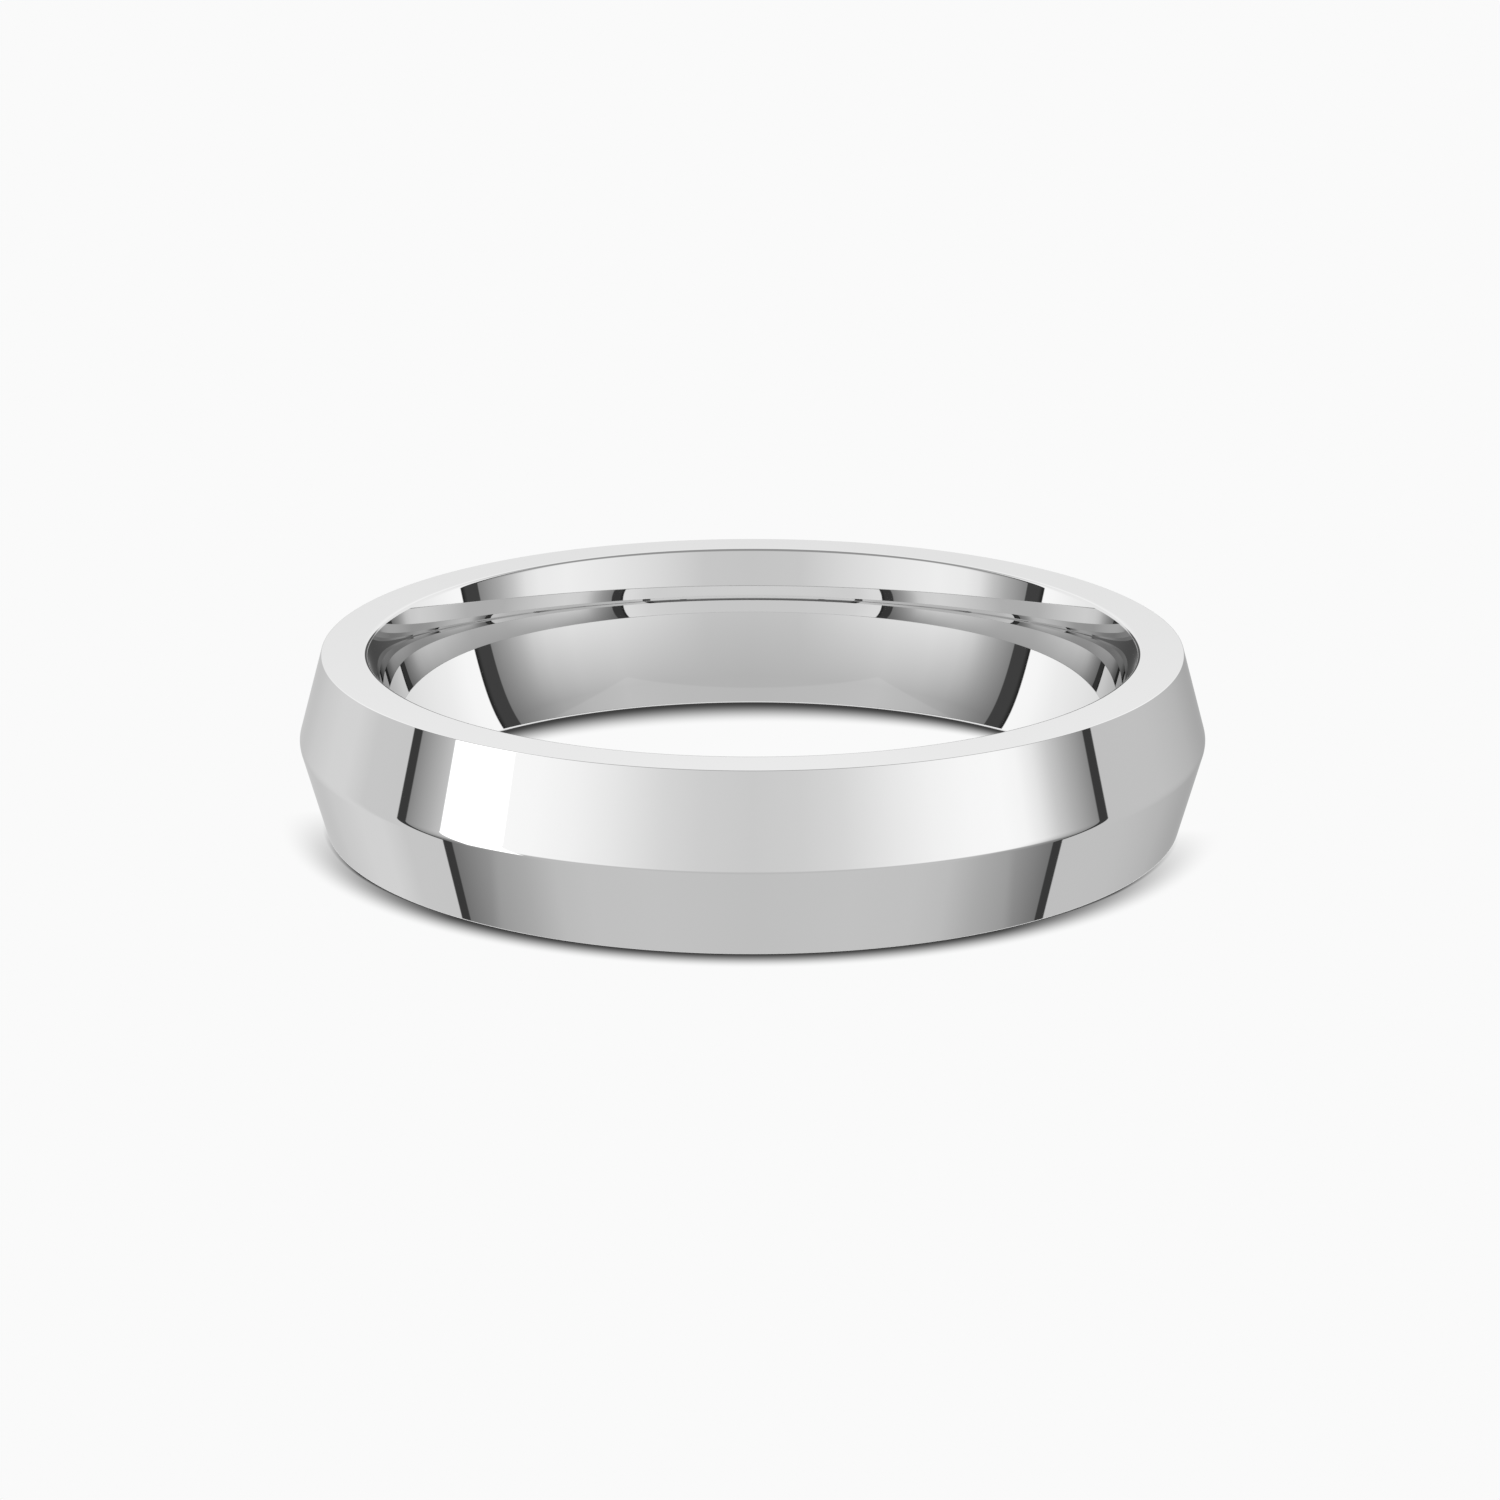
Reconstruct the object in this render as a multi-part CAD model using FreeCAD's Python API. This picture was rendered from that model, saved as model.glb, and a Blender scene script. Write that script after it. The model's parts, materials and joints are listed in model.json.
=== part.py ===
import FreeCAD, Part
import math
import os

# Plain knife-edge wedding band with a comfort-fit inside, made as one piece of metal.
# Millimetres. The origin is the centre of the finger opening at mid-width, and +Z runs
# along the finger. The upper half of the band mirrors the lower half about the plane Z = 0.

# Driving dimensions
FINGER_DIAMETER = 17.0      # tightest point of the opening, at mid-width
BAND_WIDTH = 4.0            # along the finger, from one edge face to the other
RIDGE_THICKNESS = 1.87      # from the tightest point of the opening out to the sharp ridge
EDGE_FACE_WIDTH = 1.04      # flat face at each end, before its corners are broken
COMFORT_ARC_RADIUS = 6.59   # the inside swells towards the finger on this radius
GAUGE_LAND_WIDTH = 0.2      # straight stretch of the inside where the finger size is taken
RIDGE_ROUND = 0.35          # polishing round along the ridge
MOUTH_ROUND = 0.10          # round where the inside meets an edge face
SHOULDER_ROUND = 0.02       # broken corner where a flank meets an edge face

# Worked out from the driving dimensions
HALF_WIDTH = BAND_WIDTH / 2
HALF_LAND = GAUGE_LAND_WIDTH / 2
FINGER_RADIUS = FINGER_DIAMETER / 2
RIDGE_RADIUS = FINGER_RADIUS + RIDGE_THICKNESS

# The cross-section is drawn in the XZ plane and turned round the finger axis.
CENTRE = FreeCAD.Vector(0, 0, 0)
FINGER_AXIS = FreeCAD.Vector(0, 0, 1)
SECTION_NORMAL = FreeCAD.Vector(0, 1, 0)


def point(radius, height):
    """A point of the cross-section."""
    return FreeCAD.Vector(radius, 0, height)


def inside_radius(height):
    """Radius of the comfort-fit inside at a height above mid-width."""
    beyond_land = max(height - HALF_LAND, 0.0)
    set_back = COMFORT_ARC_RADIUS - math.sqrt(COMFORT_ARC_RADIUS ** 2 - beyond_land ** 2)
    return FINGER_RADIUS + set_back


def mirrored(edge):
    """The same edge on the other half of the band."""
    return edge.mirror(CENTRE, FINGER_AXIS)


def round_corner(before, after, corner, radius):
    """Two edges that meet at a corner, shortened, with the arc that joins them between."""
    fillet = Part.ChFi2d.FilletAPI(before, after, Part.Plane(CENTRE, SECTION_NORMAL))
    fillet.perform(radius)
    arc, before, after = fillet.result(corner)
    return before, arc, after


def cross_section():
    """The band's section: gauge land, domed inside, two edge faces and two flanks."""
    land_end = point(FINGER_RADIUS, HALF_LAND)
    arc_middle_height = (HALF_LAND + HALF_WIDTH) / 2
    arc_middle = point(inside_radius(arc_middle_height), arc_middle_height)
    mouth = point(inside_radius(HALF_WIDTH), HALF_WIDTH)
    shoulder = point(inside_radius(HALF_WIDTH) + EDGE_FACE_WIDTH, HALF_WIDTH)
    ridge = point(RIDGE_RADIUS, 0)

    gauge_land = Part.makeLine(point(FINGER_RADIUS, -HALF_LAND), land_end)
    comfort_arc = Part.Arc(land_end, arc_middle, mouth).toShape()
    edge_face = Part.makeLine(mouth, shoulder)
    flank = Part.makeLine(shoulder, ridge)

    comfort_arc, mouth_round, edge_face = round_corner(comfort_arc, edge_face, mouth, MOUTH_ROUND)
    edge_face, shoulder_round, flank = round_corner(edge_face, flank, shoulder, SHOULDER_ROUND)
    flank_start = flank.Vertexes[0].Point
    lower_flank = Part.makeLine(ridge, point(flank_start.x, -flank_start.z))
    flank, ridge_round, lower_flank = round_corner(flank, lower_flank, ridge, RIDGE_ROUND)

    upper = [comfort_arc, mouth_round, edge_face, shoulder_round]
    lower = [mirrored(edge) for edge in upper]
    outline = [gauge_land, flank, ridge_round, lower_flank] + upper + lower
    return Part.Face(Part.Wire(Part.__sortEdges__(outline)))


def band():
    """The whole ring of metal."""
    return cross_section().revolve(CENTRE, FINGER_AXIS, 360)


os.makedirs("parts", exist_ok=True)
band().exportStep("parts/band.step")
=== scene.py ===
import json
import math

import bpy
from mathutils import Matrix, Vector


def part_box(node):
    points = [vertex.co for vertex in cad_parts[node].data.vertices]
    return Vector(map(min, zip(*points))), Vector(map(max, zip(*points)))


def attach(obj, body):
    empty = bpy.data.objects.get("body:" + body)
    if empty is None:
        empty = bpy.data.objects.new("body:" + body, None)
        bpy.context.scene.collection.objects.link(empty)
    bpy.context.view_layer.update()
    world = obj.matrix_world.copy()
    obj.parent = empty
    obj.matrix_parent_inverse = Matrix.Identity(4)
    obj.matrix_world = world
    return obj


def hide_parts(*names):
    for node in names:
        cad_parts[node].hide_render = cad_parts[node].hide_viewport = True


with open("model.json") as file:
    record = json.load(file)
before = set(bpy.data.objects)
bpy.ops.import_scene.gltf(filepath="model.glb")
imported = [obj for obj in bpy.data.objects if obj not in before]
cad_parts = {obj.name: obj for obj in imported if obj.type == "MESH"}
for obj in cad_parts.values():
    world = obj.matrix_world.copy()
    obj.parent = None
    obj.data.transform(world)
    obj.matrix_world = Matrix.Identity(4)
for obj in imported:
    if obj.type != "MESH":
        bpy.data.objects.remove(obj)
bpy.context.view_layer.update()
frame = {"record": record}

# A mirror-polished knife-edge wedding band lying flat on a light table.
# Lengths are in metres, in the frame of the CAD part: the origin is the centre of the finger
# opening and +Z runs along the finger. The camera stands on the -Y side, and +X is to its right.

MM = 0.001

# ---------------------------------------------------------------- the band's section

mounts = {mount["name"]: mount for mount in frame["record"]["mounts"]}
FINGER_RADIUS = mounts["finger_opening"]["dims"]["r_mm"] * MM
BAND_LOW, BAND_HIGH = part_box("band")
HALF_WIDTH = BAND_HIGH.z
CROWN_RADIUS = BAND_HIGH.x
COMFORT_ARC_RADIUS = 7.28 * MM      # one arc from mouth to mouth, with no gauge land
EDGE_FACE_WIDTH = 1.04 * MM         # before its corners are broken
RIDGE_ROUND = 0.35 * MM
MOUTH_ROUND = 0.10 * MM             # where the inside meets an edge face
SHOULDER_ROUND = 0.02 * MM          # where a flank meets an edge face

TURN_STEPS = 720
COMFORT_STEPS = 16
FLANK_STEPS = 4
CORNER_STEPS = 6
RIDGE_STEPS = 6


def arc(centre, radius, start, end, steps):
    """Points and outward normals along an arc. Angles are in radians from the outward radial."""
    found = []
    for step in range(steps + 1):
        angle = start + (end - start) * step / steps
        normal = (math.cos(angle), math.sin(angle))
        place = (centre[0] + radius * normal[0], centre[1] + radius * normal[1])
        found.append((place, normal))
    return found


def straight(start, end, normal, steps):
    """Points and normals along a straight stretch, without its two ends."""
    found = []
    for step in range(1, steps):
        share = step / steps
        radius = start[0] + (end[0] - start[0]) * share
        height = start[1] + (end[1] - start[1]) * share
        found.append(((radius, height), normal))
    return found


def upper_inside():
    """The comfort arc, and the round at the mouth of the opening, up to the flat edge face."""
    arc_centre = (FINGER_RADIUS + COMFORT_ARC_RADIUS, 0.0)
    mouth_height = HALF_WIDTH - MOUTH_ROUND
    rise = math.asin(mouth_height / (COMFORT_ARC_RADIUS - MOUTH_ROUND))
    mouth_centre = arc_centre[0] - (COMFORT_ARC_RADIUS - MOUTH_ROUND) * math.cos(rise)
    turned = math.pi - rise
    comfort = arc(arc_centre, COMFORT_ARC_RADIUS, math.pi, turned, COMFORT_STEPS)
    mouth = arc((mouth_centre, mouth_height), MOUTH_ROUND, turned, math.pi / 2, CORNER_STEPS)
    return comfort + mouth[1:]


def upper_outside():
    """The round at the shoulder, the flank, and half of the round along the ridge."""
    set_back = COMFORT_ARC_RADIUS - math.sqrt(COMFORT_ARC_RADIUS ** 2 - HALF_WIDTH ** 2)
    shoulder = FINGER_RADIUS + set_back + EDGE_FACE_WIDTH

    # The flank is the line that touches the ridge's round and passes through the shoulder.
    ridge_centre = CROWN_RADIUS - RIDGE_ROUND
    reach = shoulder - ridge_centre
    touching = math.acos(RIDGE_ROUND / math.hypot(reach, HALF_WIDTH))
    slope = math.atan2(HALF_WIDTH, reach) - touching
    inset = SHOULDER_ROUND * math.tan((math.pi / 2 - slope) / 2)
    round_centre = (shoulder - inset, HALF_WIDTH - SHOULDER_ROUND)

    shoulder_round = arc(round_centre, SHOULDER_ROUND, math.pi / 2, slope, CORNER_STEPS)
    ridge = arc((ridge_centre, 0.0), RIDGE_ROUND, slope, 0.0, RIDGE_STEPS)
    flank_start, normal = shoulder_round[-1]
    flank_end, _ = ridge[0]
    flank = straight(flank_start, flank_end, normal, FLANK_STEPS)
    return shoulder_round + flank + ridge


def whole_section():
    """The closed section: the upper half, then its mirror image without the shared crown."""
    upper = upper_inside() + upper_outside()
    lower = [((r, -z), (nr, -nz)) for (r, z), (nr, nz) in reversed(upper[:-1])]
    return upper + lower


def turn_band(name):
    """The section turned round the finger axis, with exact normals, as one closed mesh."""
    section = whole_section()
    count = len(section)
    points = []
    normals = []
    faces = []
    for turn in range(TURN_STEPS):
        angle = 2 * math.pi * turn / TURN_STEPS
        across, along = math.cos(angle), math.sin(angle)
        for (r, z), (nr, nz) in section:
            points.append((r * across, r * along, z))
            normals.append((nr * across, nr * along, nz))
    for turn in range(TURN_STEPS):
        here = turn * count
        there = (turn + 1) % TURN_STEPS * count
        for step in range(count):
            following = (step + 1) % count
            faces.append((here + step, here + following, there + following, there + step))
    mesh = bpy.data.meshes.new(name)
    mesh.from_pydata(points, [], faces)
    mesh.polygons.foreach_set("use_smooth", [True] * len(mesh.polygons))
    mesh.normals_split_custom_set_from_vertices(normals)
    band = bpy.data.objects.new(name, mesh)
    bpy.context.scene.collection.objects.link(band)
    return band


# ---------------------------------------------------------------- shader helpers

HALF_TURN = 180.0       # degrees
LEVEL_RANGE = 2.0       # a colour ramp holds 0 to 1, so levels are stored as a share of this
COUNT_MARGIN = 0.5      # keeps a comparison of whole counts clear of rounding


class Shader:
    """A few short calls for building one node tree."""

    def __init__(self, tree):
        self.tree = tree
        self.tree.nodes.clear()

    def node(self, kind, **settings):
        """A new node of a kind, with its settings."""
        made = self.tree.nodes.new(kind)
        for name, value in settings.items():
            setattr(made, name, value)
        return made

    def feed(self, socket, value):
        """Links another node's output to a socket, or sets the socket to a plain value."""
        if isinstance(value, bpy.types.NodeSocket):
            self.tree.links.new(value, socket)
        else:
            socket.default_value = value

    def math(self, operation, *values):
        """The result of one sum on plain values or outputs."""
        made = self.node("ShaderNodeMath", operation=operation)
        for socket, value in zip(made.inputs, values):
            self.feed(socket, value)
        return made.outputs[0]

    def times(self, first, second):
        """The product of two values."""
        return self.math("MULTIPLY", first, second)

    def minus(self, first, second):
        """The first value less the second."""
        return self.math("SUBTRACT", first, second)

    def hypotenuse(self, first, second):
        """The length of the long side of a right triangle with these two short sides."""
        squares = self.math("ADD", self.times(first, first), self.times(second, second))
        return self.math("SQRT", squares)

    def parts(self, vector):
        """The x, y and z of a vector."""
        split = self.node("ShaderNodeSeparateXYZ")
        self.feed(split.inputs[0], vector)
        return tuple(split.outputs)

    def scaled(self, vector, factor):
        """A vector made longer or shorter."""
        made = self.node("ShaderNodeVectorMath", operation="SCALE")
        self.feed(made.inputs[0], vector)
        self.feed(made.inputs["Scale"], factor)
        return made.outputs[0]

    def position(self):
        """The x, y and z of the place that is being shaded."""
        return self.parts(self.node("ShaderNodeNewGeometry").outputs["Position"])

    def bounces(self):
        """How many times a ray has left the metal before it arrives here."""
        return self.node("ShaderNodeLightPath").outputs["Ray Depth"]

    def fade(self, value, start, end, smooth=True):
        """0 at start, 1 at end, and no further on either side."""
        made = self.node("ShaderNodeMapRange")
        made.interpolation_type = "SMOOTHSTEP" if smooth else "LINEAR"
        self.feed(made.inputs["Value"], value)
        self.feed(made.inputs["From Min"], start)
        self.feed(made.inputs["From Max"], end)
        return made.outputs["Result"]

    def mix(self, share, first, second):
        """first where share is 0, second where it is 1."""
        made = self.node("ShaderNodeMix", data_type="FLOAT")
        self.feed(made.inputs["Factor"], share)
        self.feed(made.inputs["A"], first)
        self.feed(made.inputs["B"], second)
        return made.outputs["Result"]

    def between(self, value, low, high, soft):
        """1 between low and high, 0 outside, with soft edges."""
        rising = self.fade(value, low - soft, low + soft)
        falling = self.fade(value, high + soft, high - soft)
        return self.times(rising, falling)

    def levels(self, degrees, stops):
        """A light level that follows an angle, 0 to 180 degrees, through (angle, level) stops."""
        ramp = self.node("ShaderNodeValToRGB")
        self.feed(ramp.inputs["Fac"], self.math("DIVIDE", degrees, HALF_TURN))
        elements = ramp.color_ramp.elements
        while len(elements) < len(stops):
            elements.new(1.0)
        for element, (angle, level) in zip(elements, stops):
            grey = level / LEVEL_RANGE
            element.position = angle / HALF_TURN
            element.color = (grey, grey, grey, 1.0)
        return self.times(ramp.outputs["Color"], LEVEL_RANGE)


def new_material(name):
    """A material that is never sampled as a lamp, and the shader that builds its tree."""
    material = bpy.data.materials.new(name)
    material.use_nodes = True
    material.cycles.emission_sampling = "NONE"
    return material, Shader(material.node_tree)


def glow(shader, level):
    """Ends a material's tree with plain light of one level."""
    emission = shader.node("ShaderNodeEmission")
    shader.feed(emission.inputs["Color"], level)
    output = shader.node("ShaderNodeOutputMaterial")
    shader.feed(output.inputs["Surface"], emission.outputs[0])


# ---------------------------------------------------------------- studio light

# The studio is a ring of light round the band. Azimuths are measured from the camera's side, so
# 0 is towards the camera and 180 is straight behind the band. Each side has a bright panel at
# about 60 degrees and a narrow black flag just past 90 degrees. The levels are set for a metal of
# the reference tone, and are raised for this slightly darker one.

REFERENCE_TONE = 0.80
METAL_TONE = 0.745
FLOOR_LEVEL = 0.956     # of the floor away from the band, and of the background behind it

# OUTSIDE is what the outside of the band sees, and INSIDE is what the opening sees through its
# two ends. Angles are in degrees.
#   high, low     stops of (azimuth, level) in front, above and below the fall
#   fall          the elevations between which low turns into high
#   left, right   stops of (azimuth, level) behind the band
#   wall          the back wall's level at its foot and further up
#   flag          the azimuths of the flag, with flag_levels before and after its fold
#   flag_lean     how far the flag leans, in degrees of azimuth for each degree of elevation
#   window        the level of the small window on the left
#   under_wall    the levels of a gap under the wall and of the wall's foot, for the mouth alone
#   third         the levels below and above, for light that met the metal three times
OUTSIDE = {
    "high": [(0, 0.73), (12, 0.76), (22, 0.83), (35, 0.99), (45, 1.09), (55, 1.15),
             (64, 1.17), (70, 1.13), (75, 0.97), (80, 0.71), (85, 0.53), (93, 0.29)],
    "low": [(0, 0.608), (30, 0.628), (50, 0.613), (60, 0.573), (70, 0.455), (80, 0.37),
            (93, 0.205)],
    "fall": (-30.0, -24.0),
    "left": [(97, 0.70), (110, 0.72), (120, 0.84), (130, 0.87), (145, 0.85), (160, 0.76),
             (175, 0.60)],
    "right": [(97, 0.655), (120, 0.675), (130, 0.665), (140, 0.65), (150, 0.60), (160, 0.54),
              (175, 0.45)],
    "wall": (1.09, 1.205),
    "flag": (93.0, 96.15),
    "flag_levels": (0.05, 0.05),
    "window": 1.7,
}
BEHIND_THE_OPENING = [(99, 1.17), (105, 1.15), (115, 1.06), (125, 1.02), (150, 0.96), (180, 0.95)]
INSIDE = {
    "high": [(0, 0.69), (15, 0.71), (30, 0.86), (45, 0.98), (60, 1.06), (70, 1.02), (75, 0.92),
             (80, 0.67), (85, 0.49), (93, 0.29)],
    "low": [(0, 0.555), (30, 0.575), (45, 0.60), (60, 0.54), (70, 0.46), (80, 0.33),
            (93, 0.17)],
    "fall": (-36.0, 0.0),
    "left": BEHIND_THE_OPENING,
    "right": BEHIND_THE_OPENING,
    "wall": (1.02, 1.02),
    "flag": (93.0, 100.4),
    "flag_levels": (0.060, 0.018),
    "flag_lean": 0.09,
    "under_wall": (0.14, 1.15),
    "third": (0.24, 1.30),
}

SIDES_MEET = 0.25                   # sideways part of a direction where left has turned to right
ZENITH_LEVEL = 0.35
ZENITH_ELEVATIONS = (38.0, 62.0)

TABLE_GAIN = 0.042
TABLE_HALF_WIDTH = 1.10             # as a share of the table's distance below the band
TABLE_HALF_DEPTH = 1.15
TABLE_EDGE = 0.02
LEAST_DROP = 0.001                  # keeps the table's formula clear of level directions

WALL_FOOT = (5.0, 11.0)
WALL_RISE = (13.0, 19.0)
WALL_AZIMUTHS = (105.0, 125.0)

FLAG_EDGE = 0.25
FLAG_FOLD = (98.0, 100.4)
FLAG_SHIFT_IN_FRONT = -1.25
HALF_WAY = 1.0 * MM

WINDOW_AZIMUTHS = (62.8, 81.4)
WINDOW_ELEVATION = -33.0

FIRST_TIME = 1
GAP_BOTTOM = (-1.0, 0.0)
GAP_TOP = (13.1, 14.1)
GAP_AZIMUTHS = (150.0, 158.0)

THIRD_TIME = 3
THIRD_SPLIT = (-2.0, 2.0)
THIRD_PASS = (4.2 * MM, 3.8 * MM)


class Direction:
    """A direction away from the band, by its parts and by its angles in degrees."""

    def __init__(self, shader, vector):
        self.x, self.y, self.z = shader.parts(vector)
        radians = shader.math("ARCTAN2", self.x, shader.times(self.y, -1.0))
        self.bearing = shader.math("DEGREES", radians)
        self.azimuth = shader.math("ABSOLUTE", self.bearing)
        self.elevation = shader.math("DEGREES", shader.math("ARCSINE", self.z))


def light_table(shader, way):
    """1 where a direction meets the square table under the band, a little paler than the rest."""
    drop = shader.math("MAXIMUM", shader.times(way.z, -1.0), LEAST_DROP)
    across = shader.math("ABSOLUTE", shader.math("DIVIDE", way.x, drop))
    along = shader.math("ABSOLUTE", shader.math("DIVIDE", way.y, drop))
    wide = shader.fade(across, TABLE_HALF_WIDTH + TABLE_EDGE, TABLE_HALF_WIDTH - TABLE_EDGE)
    deep = shader.fade(along, TABLE_HALF_DEPTH + TABLE_EDGE, TABLE_HALF_DEPTH - TABLE_EDGE)
    return shader.times(wide, deep)


def third_time_round(shader, way):
    """1 for light that met the metal three times and always passed close by the finger axis."""
    x, y, _ = shader.position()
    turning = shader.minus(shader.times(x, way.y), shader.times(y, way.x))
    level_part = shader.hypotenuse(way.x, way.y)
    passing = shader.math("DIVIDE", shader.math("ABSOLUTE", turning), level_part)
    third = shader.math("GREATER_THAN", shader.bounces(), THIRD_TIME - COUNT_MARGIN)
    return shader.times(third, shader.fade(passing, *THIRD_PASS))


def front_level(shader, way, light):
    """The light in front of the band, with the table under it."""
    high = shader.levels(way.azimuth, light["high"])
    low = shader.levels(way.azimuth, light["low"])
    low = shader.math("ADD", low, shader.times(light_table(shader, way), TABLE_GAIN))
    front = shader.mix(shader.fade(way.elevation, *light["fall"], smooth=False), low, high)
    if "third" in light:
        level = shader.mix(shader.fade(way.elevation, *THIRD_SPLIT), *light["third"])
        front = shader.mix(third_time_round(shader, way), front, level)
    return front


def from_the_mouth(shader, way):
    """1 for light from the back that the rounded mouth of the opening shows the camera directly."""
    wide = shader.fade(way.azimuth, *GAP_AZIMUTHS)
    upward = shader.fade(way.elevation, *GAP_BOTTOM)
    first = shader.math("LESS_THAN", shader.bounces(), FIRST_TIME + COUNT_MARGIN)
    return shader.times(shader.times(wide, upward), first)


def back_level(shader, way, light):
    """The light behind the band, with the back wall standing in it."""
    left = shader.levels(way.azimuth, light["left"])
    right = shader.levels(way.azimuth, light["right"])
    back = shader.mix(shader.fade(way.x, -SIDES_MEET, SIDES_MEET), left, right)
    tall = shader.fade(way.elevation, *WALL_FOOT)
    wide = shader.fade(way.azimuth, *WALL_AZIMUTHS)
    level = shader.mix(shader.fade(way.elevation, *WALL_RISE, smooth=False), *light["wall"])
    back = shader.mix(shader.times(tall, wide), back, level)
    if "under_wall" in light:
        level = shader.mix(shader.fade(way.elevation, *GAP_TOP), *light["under_wall"])
        back = shader.mix(from_the_mouth(shader, way), back, level)
    return back


def flag_shift(shader, way, lean):
    """A flag that stands close by leans for the back of the inside, and shifts for its front."""
    _, y, _ = shader.position()
    towards_camera = shader.fade(y, HALF_WAY, -HALF_WAY)
    return shader.mix(towards_camera, shader.times(way.elevation, lean), FLAG_SHIFT_IN_FRONT)


def flagged_level(shader, way, light):
    """The front and the back of the studio, with the two black flags between them."""
    azimuth = way.azimuth
    if "flag_lean" in light:
        azimuth = shader.minus(azimuth, flag_shift(shader, way, light["flag_lean"]))
    flag_start, flag_end = light["flag"]
    behind = shader.fade(azimuth, flag_end - FLAG_EDGE, flag_end + FLAG_EDGE)
    level = shader.mix(behind, front_level(shader, way, light), back_level(shader, way, light))
    flag = shader.between(azimuth, flag_start, flag_end, FLAG_EDGE)
    flag_level = shader.mix(shader.fade(azimuth, *FLAG_FOLD), *light["flag_levels"])
    return shader.mix(flag, level, flag_level)


def window_shape(shader, way):
    """1 inside the small window on the left."""
    leftward = shader.times(way.bearing, -1.0)
    wide = shader.between(leftward, *WINDOW_AZIMUTHS, FLAG_EDGE)
    bottom, top = WINDOW_ELEVATION - FLAG_EDGE, WINDOW_ELEVATION + FLAG_EDGE
    return shader.times(wide, shader.fade(way.elevation, bottom, top))


def studio_light(shader, vector, light):
    """The studio's level in a direction."""
    way = Direction(shader, vector)
    level = flagged_level(shader, way, light)
    if "window" in light:
        level = shader.mix(window_shape(shader, way), level, light["window"])
    overhead = shader.fade(way.elevation, *ZENITH_ELEVATIONS)
    level = shader.mix(overhead, level, ZENITH_LEVEL)
    return shader.times(level, REFERENCE_TONE / METAL_TONE)


def light_the_studio():
    """The world: the outside's studio light in reflections, and the floor's tone to the camera."""
    world = bpy.data.worlds.new("studio")
    bpy.context.scene.world = world
    world.use_nodes = True
    shader = Shader(world.node_tree)
    direction = shader.node("ShaderNodeTexCoord").outputs["Generated"]
    level = studio_light(shader, direction, OUTSIDE)
    seen_directly = shader.node("ShaderNodeLightPath").outputs["Is Camera Ray"]
    background = shader.node("ShaderNodeBackground")
    shader.feed(background.inputs["Color"], shader.mix(seen_directly, level, FLOOR_LEVEL))
    output = shader.node("ShaderNodeOutputWorld")
    shader.feed(output.inputs["Surface"], background.outputs[0])


def disc(name, radius, height, steps):
    """A flat round sheet of the studio, not of the band."""
    rim = []
    for step in range(steps):
        angle = 2 * math.pi * step / steps
        rim.append((radius * math.cos(angle), radius * math.sin(angle), height))
    mesh = bpy.data.meshes.new(name)
    mesh.from_pydata(rim, [], [tuple(range(steps))])
    sheet = bpy.data.objects.new(name, mesh)
    bpy.context.scene.collection.objects.link(sheet)
    return sheet


SHEET_GAP = 0.002 * MM
SHEET_RADIUS = 8.87 * MM
SHEET_STEPS = 180


def inside_light_material():
    """What the inside of the band sees through either end of the finger opening."""
    material, shader = new_material("inside_light")
    incoming = shader.node("ShaderNodeNewGeometry").outputs["Incoming"]
    glow(shader, studio_light(shader, shader.scaled(incoming, -1.0), INSIDE))
    return material


def close_the_opening():
    """Two sheets of light over the ends of the opening, seen only in reflections."""
    material = inside_light_material()
    height = HALF_WIDTH + SHEET_GAP
    above = disc("light_above", SHEET_RADIUS, height, SHEET_STEPS)
    below = disc("light_below", SHEET_RADIUS, -height, SHEET_STEPS)
    for sheet in (above, below):
        sheet.data.materials.append(material)
        sheet.visible_camera = False
        sheet.visible_diffuse = False
        sheet.visible_shadow = False
        sheet.visible_transmission = False
        sheet.visible_volume_scatter = False


# ---------------------------------------------------------------- floor

# The band's contact shadow is painted into the floor's glow, shaped as if light came low from
# behind
# and a little from the right: deep in front of the band and at the back of the opening, and weak at
# the band's sides.

FLOOR_RADIUS = 2.0
FLOOR_STEPS = 64
FOOT_OUTER = 9.82 * MM
FOOT_INNER = 8.78 * MM
CONTACT_LEVEL = 0.05

OUTER_REACH = 0.85 * MM
OUTER_WIDENING = 0.30 * MM
OUTER_FACING = (0.08, 0.81)
OUTER_LEAN = 0.07
OUTER_LINE_REACH = 0.25 * MM
OUTER_LINE_FACING = (0.10, 0.54)

INNER_REACH = 1.80 * MM
INNER_LEAN = 0.33 * MM
INNER_NARROWING = 1.42 * MM
INNER_FACING = (-0.20, 0.50)
LEAST_REACH = 0.25 * MM


def shade(shader, distance, reach, strength):
    """Painted shade as openness, which rises from the contact level at the foot to 1 where the
    shade ends.
    """
    lit = shader.mix(shader.fade(distance, 0.0, reach), CONTACT_LEVEL, 1.0)
    return shader.mix(strength, 1.0, lit)


def painted_outer_shade(shader, outward, rightward, backward):
    """A soft painted shadow in front of the band, with a narrow painted dark line along its foot.
    """
    facing = shader.math("ADD", backward, shader.times(rightward, OUTER_LEAN))
    forward = shader.times(facing, -1.0)
    widening = shader.times(shader.math("ADD", backward, 1.0), OUTER_WIDENING)
    reach = shader.math("ADD", widening, OUTER_REACH)
    strength = shader.fade(forward, *OUTER_FACING, smooth=False)
    soft = shade(shader, outward, reach, strength)
    strength = shader.fade(forward, *OUTER_LINE_FACING, smooth=False)
    line = shade(shader, outward, OUTER_LINE_REACH, strength)
    return shader.math("MINIMUM", soft, line)


def painted_inner_shade(shader, inward, rightward, backward):
    """A painted shadow at the back of the opening that narrows towards the sides."""
    lean = shader.times(rightward, INNER_LEAN)
    narrowing = shader.times(shader.times(rightward, rightward), INNER_NARROWING)
    reach = shader.minus(shader.minus(INNER_REACH, lean), narrowing)
    strength = shader.fade(backward, *INNER_FACING, smooth=False)
    return shade(shader, inward, shader.math("MAXIMUM", reach, LEAST_REACH), strength)


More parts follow.
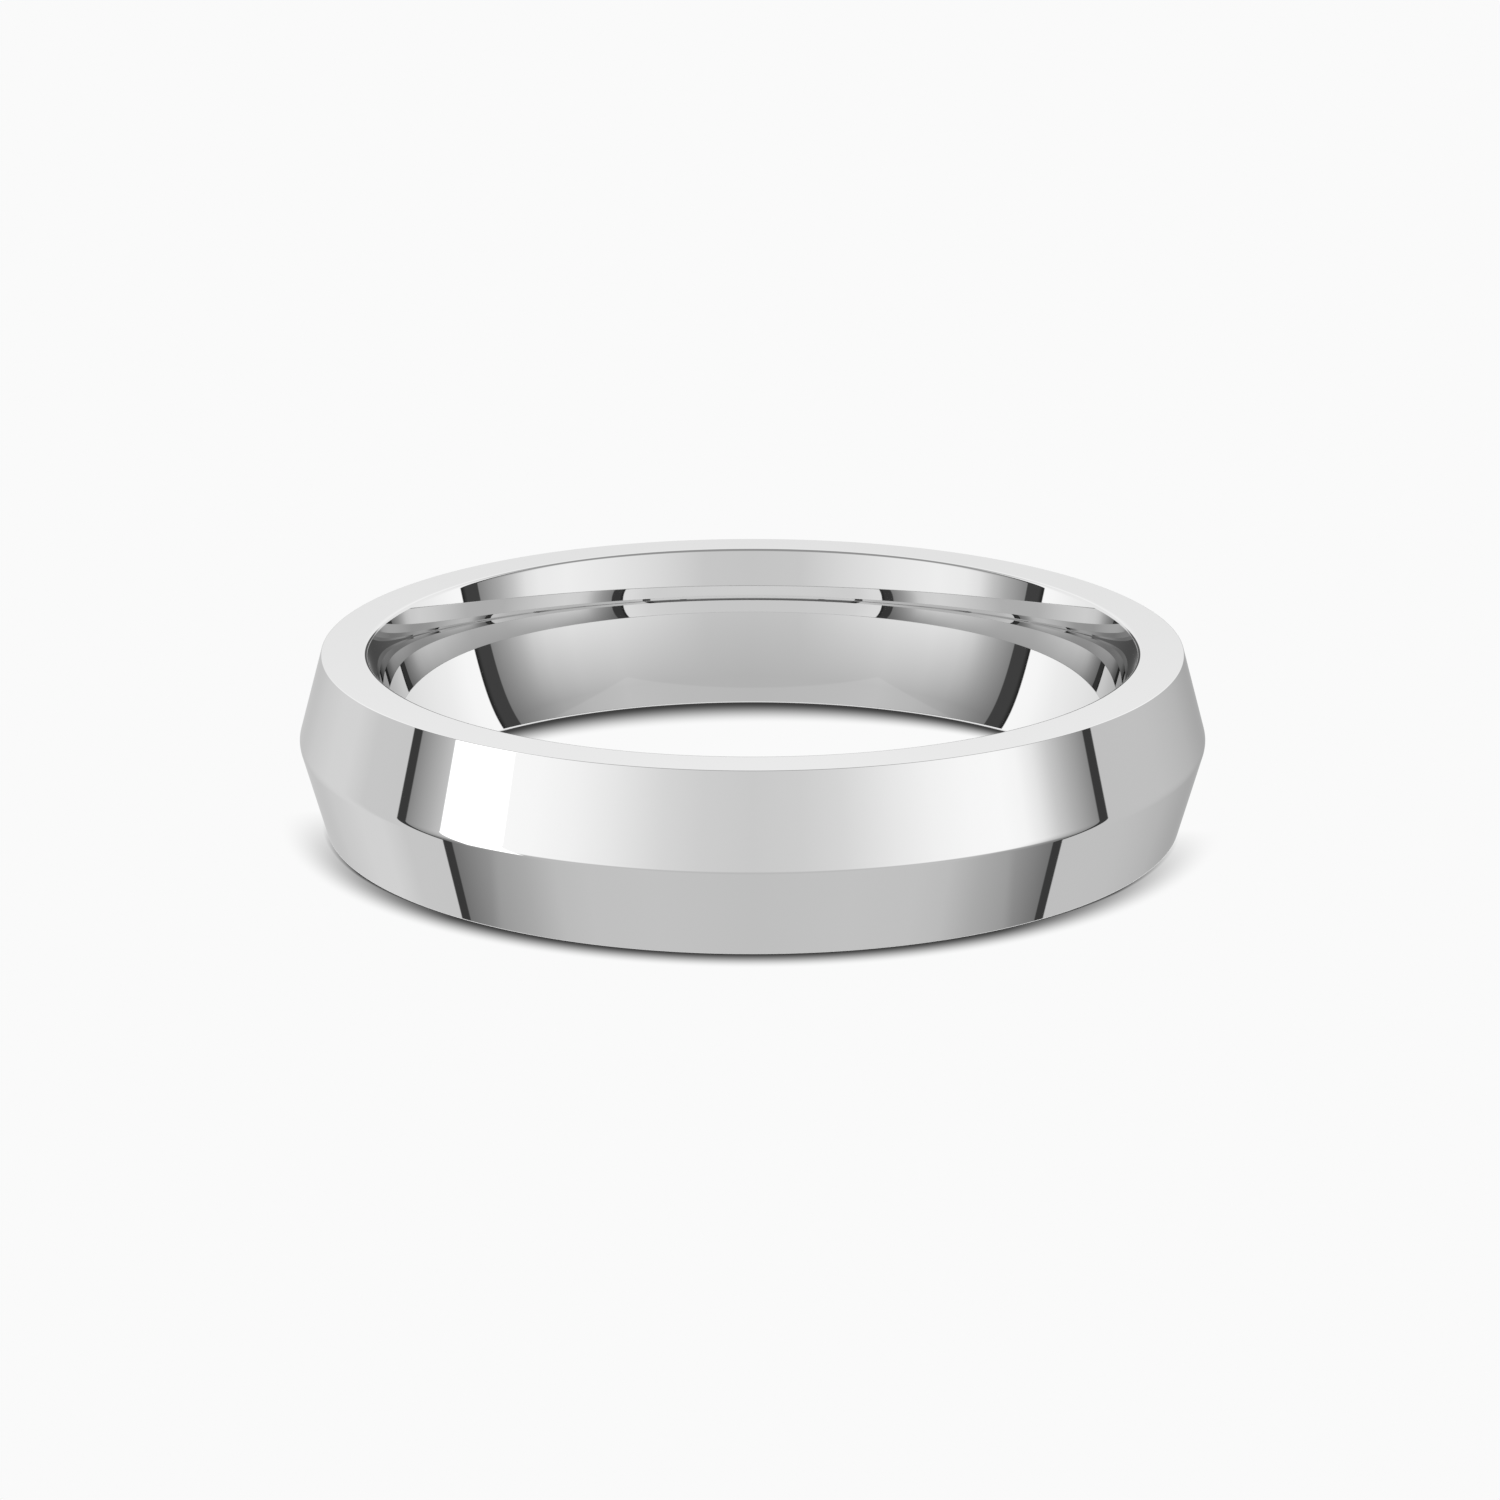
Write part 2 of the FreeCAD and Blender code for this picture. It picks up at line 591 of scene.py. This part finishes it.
def painted_contact_shade(shader):
    """The floor's painted contact shadow as openness: 1 far from the band, near 0 where it touches
    the floor.
    """
    x, y, _ = shader.position()
    radius = shader.math("MAXIMUM", shader.hypotenuse(x, y), MM)
    rightward = shader.math("DIVIDE", x, radius)
    backward = shader.math("DIVIDE", y, radius)
    outward = shader.minus(radius, FOOT_OUTER)
    inward = shader.minus(FOOT_INNER, radius)
    outside = painted_outer_shade(shader, outward, rightward, backward)
    inside = painted_inner_shade(shader, inward, rightward, backward)
    return shader.mix(shader.math("GREATER_THAN", outward, 0.0), inside, outside)


def lay_the_floor():
    """A pale light table that glows evenly, with the band's contact shadow painted into its glow.
    """
    floor = disc("floor", FLOOR_RADIUS, BAND_LOW.z, FLOOR_STEPS)
    floor.visible_glossy = False
    material, shader = new_material("pale_floor")
    # The painted contact shadow darkens the floor's glow near the band.
    glow(shader, shader.times(painted_contact_shade(shader), FLOOR_LEVEL))
    floor.data.materials.append(material)


# ---------------------------------------------------------------- metal

GRAZING_TONE = 0.75         # so the metal hardly brightens at a glancing angle
MIRROR_BOUNCES = 4          # reflections that a ray may make
# Painted glow: the metal itself gives off this level where a ray ends on it.
LAST_LEVEL = 0.25           # light at the place where a ray ends on the metal
TONE_SPREAD = 0.006
GLOSS = (0.012, 0.028)      # roughness from the glossiest place to the softest
CLOUD_SCALE = 0.35
CLOUD_DETAIL = 3.0
HAIRLINES_PER_MM = 26.0
HAIRLINE_TURNS = 3.0
HAIRLINE_DETAIL = 2.0
HAIRLINE_HEIGHT = 0.000004 * MM


def painted_last_bounce_glow(shader):
    """A painted glow of the metal: what a ray still gathers where it ends, when it comes back to
    the metal once too often.
    """
    ended = shader.math("GREATER_THAN", shader.bounces(), MIRROR_BOUNCES - COUNT_MARGIN)
    return shader.times(ended, LAST_LEVEL)


def gloss_clouds(shader, in_mm):
    """Slow, soft changes of the polish over the whole band, from 0 to 1."""
    clouds = shader.node("ShaderNodeTexNoise", noise_dimensions="3D")
    shader.feed(clouds.inputs["Vector"], in_mm)
    shader.feed(clouds.inputs["Scale"], CLOUD_SCALE)
    shader.feed(clouds.inputs["Detail"], CLOUD_DETAIL)
    return clouds.outputs["Fac"]


def wheel_hairlines(shader, in_mm):
    """Noise from 0 to 1 that changes fast across the band and slowly round its turn."""
    x, y, z = shader.parts(in_mm)
    radius = shader.hypotenuse(x, y)
    place = shader.node("ShaderNodeCombineXYZ")
    shader.feed(place.inputs["X"], shader.times(shader.math("DIVIDE", x, radius), HAIRLINE_TURNS))
    shader.feed(place.inputs["Y"], shader.times(shader.math("DIVIDE", y, radius), HAIRLINE_TURNS))
    shader.feed(place.inputs["Z"], shader.times(z, HAIRLINES_PER_MM))
    hairlines = shader.node("ShaderNodeTexNoise", noise_dimensions="4D")
    shader.feed(hairlines.inputs["Vector"], place.outputs[0])
    shader.feed(hairlines.inputs["W"], shader.times(radius, HAIRLINES_PER_MM))
    shader.feed(hairlines.inputs["Scale"], 1.0)
    shader.feed(hairlines.inputs["Detail"], HAIRLINE_DETAIL)
    return hairlines.outputs["Fac"]


def grey(shader, tone):
    """A colour with the same tone in all three channels."""
    colour = shader.node("ShaderNodeCombineColor")
    for channel in ("Red", "Green", "Blue"):
        shader.feed(colour.inputs[channel], tone)
    return colour.outputs[0]


def polished_metal():
    """Rhodium-bright white gold off the buffing wheel: a mirror with the faintest traces of the
    wheel, which are hairlines that run round the band and clouds of slightly softer gloss."""
    material, shader = new_material("polished_white_metal")
    in_mm = shader.scaled(shader.node("ShaderNodeTexCoord").outputs["Object"], 1.0 / MM)
    cloud = gloss_clouds(shader, in_mm)
    hairline = wheel_hairlines(shader, in_mm)
    tone = shader.mix(cloud, METAL_TONE - TONE_SPREAD, METAL_TONE + TONE_SPREAD)
    gloss = shader.mix(shader.times(cloud, hairline), *GLOSS)
    bump = shader.node("ShaderNodeBump")
    shader.feed(bump.inputs["Distance"], HAIRLINE_HEIGHT)
    shader.feed(bump.inputs["Height"], hairline)

    metal = shader.node("ShaderNodeBsdfPrincipled")
    shader.feed(metal.inputs["Metallic"], 1.0)
    shader.feed(metal.inputs["Specular Tint"], (GRAZING_TONE, GRAZING_TONE, GRAZING_TONE, 1.0))
    # A painted glow: the metal emits light to rays that reach it after their last allowed bounce.
    shader.feed(metal.inputs["Emission Strength"], 1.0)
    shader.feed(metal.inputs["Emission Color"], painted_last_bounce_glow(shader))
    shader.feed(metal.inputs["Base Color"], grey(shader, tone))
    shader.feed(metal.inputs["Roughness"], gloss)
    shader.feed(metal.inputs["Normal"], bump.outputs[0])
    output = shader.node("ShaderNodeOutputMaterial")
    shader.feed(output.inputs["Surface"], metal.outputs[0])
    return material


# ---------------------------------------------------------------- camera

SENSOR_WIDTH = 36.0             # millimetres, like the lens
LENS = 97.595
VIEW_DISTANCE = 93.562 * MM
VIEW_ELEVATION = 0.2910         # radians
AIM_RIGHT = -0.0588 * MM
AIM_UP = -0.5326 * MM
NEAREST = 1.0 * MM
FARTHEST = 10.0


def place_camera():
    """A long lens aimed at the middle of the band, with the frame centred a little below it."""
    data = bpy.data.cameras.new("camera")
    data.sensor_width = SENSOR_WIDTH
    data.lens = LENS
    data.shift_x = AIM_RIGHT * LENS / (VIEW_DISTANCE * SENSOR_WIDTH)
    data.shift_y = AIM_UP * LENS / (VIEW_DISTANCE * SENSOR_WIDTH)
    data.clip_start = NEAREST
    data.clip_end = FARTHEST
    camera = bpy.data.objects.new("camera", data)
    bpy.context.scene.collection.objects.link(camera)
    back = Vector((0.0, -math.cos(VIEW_ELEVATION), math.sin(VIEW_ELEVATION)))
    camera.location = back * VIEW_DISTANCE
    camera.rotation_euler = (math.pi / 2 - VIEW_ELEVATION, 0.0, 0.0)
    bpy.context.scene.camera = camera


# ---------------------------------------------------------------- the scene

bpy.context.scene.view_settings.view_transform = "Standard"

# A ray ends at its last mirror bounce, and none is dropped at random before that.
bpy.context.scene.cycles.max_bounces = MIRROR_BOUNCES
bpy.context.scene.cycles.glossy_bounces = MIRROR_BOUNCES
bpy.context.scene.cycles.min_light_bounces = MIRROR_BOUNCES + 1

band = turn_band("band_polished")
band.data.materials.append(polished_metal())
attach(band, "root")
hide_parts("band")

light_the_studio()
close_the_opening()
lay_the_floor()
place_camera()
